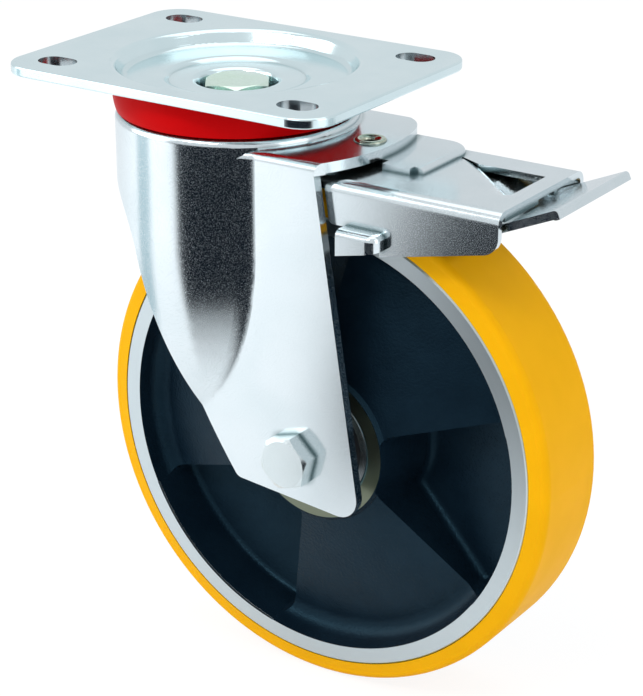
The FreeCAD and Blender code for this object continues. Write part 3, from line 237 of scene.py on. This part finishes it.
# %% World
ROOM_COLOR = (0.93, 0.97, 1.0)
ROOM_LEVEL = 0.80


def background(tree, color, level):
    node = tree.nodes.new("ShaderNodeBackground")
    node.inputs["Color"].default_value = (*color, 1)
    node.inputs["Strength"].default_value = level
    return node.outputs["Background"]


def light_world():
    world = bpy.data.worlds.new("studio")
    bpy.context.scene.world = world
    world.use_nodes = True
    tree = world.node_tree
    tree.nodes.clear()
    room = background(tree, ROOM_COLOR, ROOM_LEVEL)
    white = background(tree, (1, 1, 1), 1.0)
    seen = tree.nodes.new("ShaderNodeLightPath").outputs["Is Camera Ray"]
    end_in_blend(tree, "ShaderNodeOutputWorld", seen, room, white)


light_world()
bpy.context.scene.view_settings.view_transform = "Standard"
print("world lit at level", ROOM_LEVEL)

# %% [markdown]
# ## Light panels
#
# A photographer puts large soft panels left, right and above, so that every bend in the sheet gets a
# broad highlight with a soft border. A narrower and brighter box hangs high in front, for a tighter
# highlight on whatever faces it. All four look at the middle of the castor, and all are weak, because
# the room does most.

# %% Panels
PANELS = {
    "panel_left": ((-0.75, -0.55, 0.25), (0.8, 0.9), 3.2),
    "panel_top": ((0.05, 0.05, 0.95), (1.1, 1.1), 2.5),
    "panel_right": ((0.95, -0.05, 0.20), (0.5, 0.9), 1.4),
    "box_front": ((-0.10, -1.05, 0.95), (0.70, 0.24), 5.0),
}
AIM = Vector((0.02, 0.0, -0.10))


def hang_panel(name, place, size, watts):
    data = bpy.data.lights.new(name, "AREA")
    data.shape = "RECTANGLE"
    data.size = size[0]
    data.size_y = size[1]
    data.energy = watts
    lamp = bpy.data.objects.new(name, data)
    bpy.context.collection.objects.link(lamp)
    lamp.location = place
    lamp.rotation_euler = (AIM - Vector(place)).to_track_quat("-Z", "Y").to_euler()


for name, (place, size, watts) in PANELS.items():
    hang_panel(name, place, size, watts)
print("panels", len(PANELS))

# %% [markdown]
# ## Dark end of the table
#
# The white table ends in front of the camera, and what lies past its end is dark. The camera looks down,
# so upright steel mirrors the table, and the rounded front of the fork mirrors the dark end as a broad
# band. The band makes the steel look like steel. The dark end could be a hole in the white sheet, but
# then it would take light from the floor as well, so a black card lies on the sheet instead. It is seen
# in reflections only. A grey card to the left of it gives the fork's left flank its faint upright stripe.
# Both fade out towards the castor and at their sides, as the edge of a table does when it is out of focus.

# %% Dark end of the table
DARK_FROM = 0.15
DARK_FULL = 0.31
DARK_REACH = 2.0
DARK_APEX = (0.031, -0.05)
DARK_LEFT = math.radians(-31.5)
DARK_RIGHT = math.radians(62)
SIDE_FADE = math.radians(7)
GREY_APEX = (0.0, 0.0)
GREY_LEFT = math.radians(-74)
GREY_RIGHT = math.radians(-50)
CARD_STEPS = 16


def sector_card(name, first, last, material):
    """A flat card on the sheet: a sector of a ring about the swivel axis, seen in reflections only."""
    level = cad_box[0][2] - FLOOR_DROP / 2
    near, far = [], []
    for i in range(CARD_STEPS + 1):
        a = first + (last - first) * i / CARD_STEPS
        near.append((DARK_FROM * math.sin(a), -DARK_FROM * math.cos(a), level))
        far.append((DARK_REACH * math.sin(a), -DARK_REACH * math.cos(a), level))
    n = CARD_STEPS + 1
    mesh = bpy.data.meshes.new(name)
    mesh.from_pydata(near + far, [], [(i, i + 1, n + i + 1, n + i) for i in range(CARD_STEPS)])
    mesh.materials.append(material)
    card = bpy.data.objects.new(name, mesh)
    bpy.context.collection.objects.link(card)
    card.visible_camera = False
    card.visible_diffuse = False
    card.visible_shadow = False
    card.visible_transmission = False


def slant_to_floor(out):
    """Distance from the origin to a spot on the sheet that lies this far out from the swivel axis."""
    return math.hypot(out, cad_box[0][2])


def fading_card_material(name, color, apex, first, last, most):
    """Black or grey paint that fades out towards the castor and towards both sides of its sector."""
    material, tree = empty_material(name)
    paint = tree.nodes.new("ShaderNodeBsdfDiffuse")
    paint.inputs["Color"].default_value = (*color, 1)
    clear = tree.nodes.new("ShaderNodeBsdfTransparent")
    coords = tree.nodes.new("ShaderNodeTexCoord").outputs["Object"]
    split = tree.nodes.new("ShaderNodeSeparateXYZ")
    tree.links.new(coords, split.inputs["Vector"])
    aside = math_node(tree, "SUBTRACT", split.outputs["X"], apex[0])
    ahead = math_node(tree, "SUBTRACT", apex[1], split.outputs["Y"])
    angle = math_node(tree, "ARCTAN2", aside, ahead)
    length = tree.nodes.new("ShaderNodeVectorMath")
    length.operation = "LENGTH"
    tree.links.new(coords, length.inputs[0])
    slant = length.outputs["Value"]
    away = remap(tree, slant, slant_to_floor(DARK_FROM), slant_to_floor(DARK_FULL), 0.0, most)
    left = remap(tree, angle, first, first + SIDE_FADE, 0.0, 1.0)
    right = remap(tree, angle, last - SIDE_FADE, last, 1.0, 0.0)
    share = math_node(tree, "MULTIPLY", away, math_node(tree, "MULTIPLY", left, right))
    end_in_blend(tree, "ShaderNodeOutputMaterial", share, clear.outputs["BSDF"], paint.outputs["BSDF"])
    return material


BLACK = (0.004, 0.007, 0.012)
GREY = (0.30, 0.42, 0.46)
BLACK_CARD = fading_card_material("black_card", BLACK, DARK_APEX, DARK_LEFT, DARK_RIGHT, 1.0)
GREY_CARD = fading_card_material("grey_card", GREY, GREY_APEX, GREY_LEFT, GREY_RIGHT, 0.8)
sector_card("dark_card", GREY_RIGHT, DARK_RIGHT, BLACK_CARD)
sector_card("grey_card", GREY_LEFT, GREY_RIGHT, GREY_CARD)
print("the table is dark from", DARK_FULL, "m out")

# %% [markdown]
# ## Zinc-plated sheet
#
# The plate, the fork, the brake housing and the pedal are pressed from thick sheet and plated with bright
# zinc. The plating is a cool white metal. It is not a perfect mirror: it has a fine grain, which breaks
# up dark reflections, and broad faint clouds where the bath ran off. So the finish has three layers: a
# slow change of tone, a gloss, and grains under half a millimetre wide. Most of the surface is glossy.
# The few dull grains spread their reflection wide, so they pick up the bright studio and show as pale
# specks inside a dark reflection, where a real plated sheet shows them too. On the pale parts they hardly
# show. A second use of the same grains, as a bump of a hundredth of a millimetre, breaks up the edge of
# each reflection. The head of the king bolt has the faint green-yellow tint of an older kind of bath, and
# so has the eyelet on the shelf. Tight inner corners get painted shade: the shader darkens the colour of
# every spot that has another face within 3 mm. This could be painted on by hand, but worked out by the
# shader it follows every change of shape.

# %% Zinc sheet
SLOT_PLACE = (0.055, 0.040)
SLOT_REACH = (0.0082, 0.0057)
# Painted shade for the slots' punched walls, darker than the plating itself.
SLOT_WALL_SHADE = (0.40, 0.45, 0.47)
SLOT_WALL_ROUGHNESS = 0.24
PLATE_ROUGHNESS = 0.15
# Painted shade in inner corners: how far it looks, its colour, its strength and the occlusion range it
# follows.
CORNER_REACH = 0.003
CORNER_SHADE = (0.16, 0.24, 0.25)
CORNER_MOST = 0.80
CORNER_RANGE = (0.55, 0.96)
CLOUD_SCALE = 38
CLOUD_RANGE = (0.35, 0.70)
GRAIN_SCALE = 4000
GRAIN_RANGE = (0.56, 0.70)
GRAIN_DULLNESS = 0.28
GRAIN_HEIGHT = 0.000012
UPRIGHT_BELOW = 0.5


def zinc_sheet(name, light, dark, roughness):
    material, tree, shader, coords = start_material(name, light, 1.0, roughness)
    clouds = noise(tree, coords, CLOUD_SCALE, 2.0)
    share = remap(tree, clouds, *CLOUD_RANGE, 0.0, 1.0)
    # Painted shade: the colour darkens wherever another face lies within 3 mm.
    corner = tree.nodes.new("ShaderNodeAmbientOcclusion")
    corner.inputs["Distance"].default_value = CORNER_REACH
    corner_shade = remap(tree, corner.outputs["AO"], *CORNER_RANGE, CORNER_MOST, 0.0)
    finish = mix_colors(tree, corner_shade, mix_colors(tree, share, light, dark), CORNER_SHADE)
    tree.links.new(finish, shader.inputs["Base Color"])
    grains = noise(tree, coords, GRAIN_SCALE, 1.0)
    dulled = remap(tree, grains, *GRAIN_RANGE, roughness, roughness + GRAIN_DULLNESS)
    tree.links.new(dulled, shader.inputs["Roughness"])
    bump(tree, shader, grains, GRAIN_HEIGHT, 0.6)
    return material


def near_value(tree, value, middle, reach):
    """One where the value's size lies within reach of the middle, else nought."""
    size = math_node(tree, "ABSOLUTE", value)
    off = math_node(tree, "ABSOLUTE", math_node(tree, "SUBTRACT", size, middle))
    return math_node(tree, "LESS_THAN", off, reach)


def zinc_plate():
    """The sheet's finish with an even gloss; the punched walls of the four slots get painted shade and a
    duller gloss.
    """
    material = zinc_sheet("zinc_plate", (0.765, 0.885, 0.905), (0.71, 0.845, 0.87), PLATE_ROUGHNESS)
    tree = material.node_tree
    shader = tree.nodes["Principled BSDF"]
    plain = shader.inputs["Base Color"].links[0].from_socket
    split = tree.nodes.new("ShaderNodeSeparateXYZ")
    tree.links.new(tree.nodes["Texture Coordinate"].outputs["Object"], split.inputs["Vector"])
    along = near_value(tree, split.outputs["X"], SLOT_PLACE[0], SLOT_REACH[0])
    across = near_value(tree, split.outputs["Y"], SLOT_PLACE[1], SLOT_REACH[1])
    facing = tree.nodes.new("ShaderNodeSeparateXYZ")
    geometry = tree.nodes.new("ShaderNodeNewGeometry")
    tree.links.new(geometry.outputs["True Normal"], facing.inputs["Vector"])
    upright = math_node(tree, "LESS_THAN", math_node(tree, "ABSOLUTE", facing.outputs["Z"]), UPRIGHT_BELOW)
    wall = math_node(tree, "MULTIPLY", upright, math_node(tree, "MULTIPLY", along, across))
    # Painted shade: the slots' walls take a darker colour than the plating around them.
    tree.links.new(mix_colors(tree, wall, plain, SLOT_WALL_SHADE), shader.inputs["Base Color"])
    dulled = remap(tree, wall, 0.0, 1.0, PLATE_ROUGHNESS, SLOT_WALL_ROUGHNESS)
    tree.links.new(dulled, shader.inputs["Roughness"])
    return material


ZINC = zinc_sheet("zinc_sheet", (0.76, 0.82, 0.845), (0.71, 0.78, 0.805), 0.13)
ZINC_PLATE = zinc_plate()
ZINC_BOLT = zinc_sheet("zinc_fastener", (0.78, 0.84, 0.86), (0.72, 0.79, 0.80), 0.18)
KING_BOLT = zinc_sheet("zinc_king_bolt", (0.78, 0.89, 0.84), (0.70, 0.87, 0.72), 0.2)
EYELET = zinc_sheet("zinc_eyelet", (0.62, 0.64, 0.52), (0.40, 0.42, 0.32), 0.15)
print("zinc finishes", ZINC.name, ZINC_PLATE.name, ZINC_BOLT.name, KING_BOLT.name, EYELET.name)

# %% [markdown]
# ## Bearing steel and spring wire
#
# Balls, races and rings are ground and polished. A film of grease gives them patches of a few millimetres
# that are deeper in tone and a little duller. Spring wire is drawn through a die, which leaves it darker
# and duller still.

# %% Bearing steel
GREASE_SCALE = 160
GREASE_RANGE = (0.45, 0.70)
GREASE_TONE = 0.72
GREASE_DULLNESS = 0.12


def ground_steel(name, color, roughness):
    material, tree, shader, coords = start_material(name, color, 1.0, roughness)
    grease = noise(tree, coords, GREASE_SCALE, 3.0)
    share = remap(tree, grease, *GREASE_RANGE, 0.0, 1.0)
    darker = tuple(GREASE_TONE * c for c in color)
    tree.links.new(mix_colors(tree, share, color, darker), shader.inputs["Base Color"])
    dulled = remap(tree, grease, 0.3, 0.7, roughness, roughness + GREASE_DULLNESS)
    tree.links.new(dulled, shader.inputs["Roughness"])
    return material


BEARING = ground_steel("bearing_steel", (0.60, 0.61, 0.62), 0.16)
SPRING = ground_steel("spring_steel", (0.22, 0.22, 0.23), 0.38)
print("steel finishes", BEARING.name, SPRING.name)

# %% [markdown]
# ## Rubber and elastomer
#
# The red ring that keeps dust out of the swivel bearing is a soft moulding with a satin skin. The amber
# tread is cast elastomer. Light goes a little way into it, which makes its thick parts glow, so it gets a
# small amount of subsurface scattering with a longer path for red light than for blue.

# %% Rubber finishes
PATCH_SCALE = 45
PATCH_TONE = 0.93
SKIN_SCALE = 1400
SKIN_HEIGHT = 0.00003
SCATTER_SHARE = 0.12
SCATTER_BY_COLOR = (1.0, 0.42, 0.05)
SCATTER_LENGTH = 0.004


def rubber(name, color, roughness, shine):
    material, tree, shader, coords = start_material(name, color, 0.0, roughness, shine)
    patches = noise(tree, coords, PATCH_SCALE, 2.0)
    share = remap(tree, patches, 0.3, 0.75, 0.0, 1.0)
    darker = tuple(PATCH_TONE * c for c in color)
    tree.links.new(mix_colors(tree, share, color, darker), shader.inputs["Base Color"])
    dulled = remap(tree, patches, 0.3, 0.7, roughness - 0.03, roughness + 0.04)
    tree.links.new(dulled, shader.inputs["Roughness"])
    bump(tree, shader, noise(tree, coords, SKIN_SCALE, 2.0), SKIN_HEIGHT, 0.4)
    return material


RED_SEAL = rubber("seal_red", (0.52, 0.001, 0.002), 0.42, 0.03)
BLACK_SEAL = rubber("seal_black", (0.018, 0.018, 0.020), 0.55, 0.3)


def amber_tread():
    material = rubber("tread_amber", (0.87, 0.42, 0.002), 0.45, 0.05)
    shader = material.node_tree.nodes["Principled BSDF"]
    shader.inputs["Subsurface Weight"].default_value = SCATTER_SHARE
    shader.inputs["Subsurface Radius"].default_value = SCATTER_BY_COLOR
    shader.inputs["Subsurface Scale"].default_value = SCATTER_LENGTH
    return material


AMBER = amber_tread()
print("rubber finishes", RED_SEAL.name, BLACK_SEAL.name, AMBER.name)

# %% [markdown]
# ## Cast core
#
# The wheel's core is sand-cast iron under blue-black enamel. Sand leaves a pebbled skin that the enamel
# rounds off. The rim's edge ring and the hub's end face were turned on a lathe and stay bare: the ring
# bright grey, the hub's face a greased olive grey. A thin dark line where the tread is glued on closes
# the ring. One material does it all: the distance from the axle, worked out in the shader, tells machined
# rings from enamel, so the border is as crisp as the tool that cut it.

# %% Cast core
AXLE = (0.050, -0.140)
RIM_RING_INNER = 0.0858
BOND_LINE = (0.0926, 0.0940)
RIM_FACE_Y = 0.0190
HUB_RING = (0.0235, 0.0300)
HUB_FACE_Y = 0.0210
ENAMEL_DEEP = (0.002, 0.006, 0.012)
ENAMEL_PALE = (0.006, 0.016, 0.027)
ENAMEL_TINT = (0.30, 0.72, 1.0)
ENAMEL_ROUGHNESS = 0.22
ENAMEL_CLOUD_SCALE = 70
METAL_ROUGHNESS = 0.30
RIM_METAL = (0.60, 0.66, 0.68)
HUB_METAL = (0.20, 0.22, 0.16)
GLUE = (0.01, 0.01, 0.01)
PEBBLE_SCALE = 1000
PEBBLE_HEIGHT = 0.00030


def from_axle(tree, coords):
    """Distance from the axle's line, in metres, and the distance from the wheel's middle plane."""
    split = tree.nodes.new("ShaderNodeSeparateXYZ")
    tree.links.new(coords, split.inputs["Vector"])
    dx = math_node(tree, "SUBTRACT", split.outputs["X"], AXLE[0])
    dz = math_node(tree, "SUBTRACT", split.outputs["Z"], AXLE[1])
    dx_square = math_node(tree, "MULTIPLY", dx, dx)
    dz_square = math_node(tree, "MULTIPLY", dz, dz)
    square = math_node(tree, "ADD", dx_square, dz_square)
    return math_node(tree, "SQRT", square), math_node(tree, "ABSOLUTE", split.outputs["Y"])


def between(tree, value, low, high):
    """One where the value lies between the two limits, else nought."""
    above = math_node(tree, "GREATER_THAN", value, low)
    below = math_node(tree, "LESS_THAN", value, high)
    return math_node(tree, "MULTIPLY", above, below)


def cast_core():
    material, tree, shader, coords = start_material("core_black", (0.008, 0.013, 0.019), 0.0, 0.4, 0.24)
    shader.inputs["Specular Tint"].default_value = (*ENAMEL_TINT, 1)
    radius, offset = from_axle(tree, coords)
    rim = math_node(tree, "GREATER_THAN", radius, RIM_RING_INNER)
    hub = between(tree, radius, *HUB_RING)
    turned = math_node(tree, "MULTIPLY", rim, math_node(tree, "GREATER_THAN", offset, RIM_FACE_Y))
    faced = math_node(tree, "MULTIPLY", hub, math_node(tree, "GREATER_THAN", offset, HUB_FACE_Y))
    bare = math_node(tree, "MAXIMUM", turned, faced)
    clouds = noise(tree, coords, ENAMEL_CLOUD_SCALE, 4.0)
    enamel = mix_colors(tree, clouds, ENAMEL_DEEP, ENAMEL_PALE)
    metal = mix_colors(tree, faced, RIM_METAL, HUB_METAL)
    bond = between(tree, radius, *BOND_LINE)
    finish = mix_colors(tree, bond, mix_colors(tree, bare, enamel, metal), GLUE)
    tree.links.new(finish, shader.inputs["Base Color"])
    tree.links.new(bare, shader.inputs["Metallic"])
    dulled = remap(tree, bare, 0.0, 1.0, ENAMEL_ROUGHNESS, METAL_ROUGHNESS)
    tree.links.new(dulled, shader.inputs["Roughness"])
    pebbles = noise(tree, coords, PEBBLE_SCALE, 3.0, 0.6)
    only_enamel = math_node(tree, "MULTIPLY", pebbles, math_node(tree, "SUBTRACT", 1.0, bare))
    bump(tree, shader, only_enamel, PEBBLE_HEIGHT, 0.8)
    return material


CORE = cast_core()
print("cast finish", CORE.name)

# %% [markdown]
# ## Put the finishes on
#
# Each CAD node belongs to one finish. The record's slots say which, so the list below only names the
# finish for each slot, and the loop does the rest. Three nodes have a finish of their own instead of
# their slot's.

# %% Assign finishes
FINISHES = {
    "zinc_sheet": ZINC,
    "zinc_fastener": ZINC_BOLT,
    "bearing_steel": BEARING,
    "spring_steel": SPRING,
    "seal_red": RED_SEAL,
    "seal_black": BLACK_SEAL,
    "tread_amber": AMBER,
    "core_black": CORE,
}
OWN_FINISHES = {"top_plate": ZINC_PLATE, "king_bolt": KING_BOLT, "shelf_rivet": EYELET}


def dress_nodes():
    for part in frame["record"]["subparts"]:
        thing = nodes[part["node"]]
        thing.data.materials.clear()
        thing.data.materials.append(OWN_FINISHES.get(part["node"], FINISHES[part["material_slot"]]))


dress_nodes()
print("dressed", len(nodes), "nodes")

# %% [markdown]
# ## Close the lesson
#
# The finish only sets materials, so the CAD nodes keep the size that was printed at the start.

# %% Finish
print("lesson done")
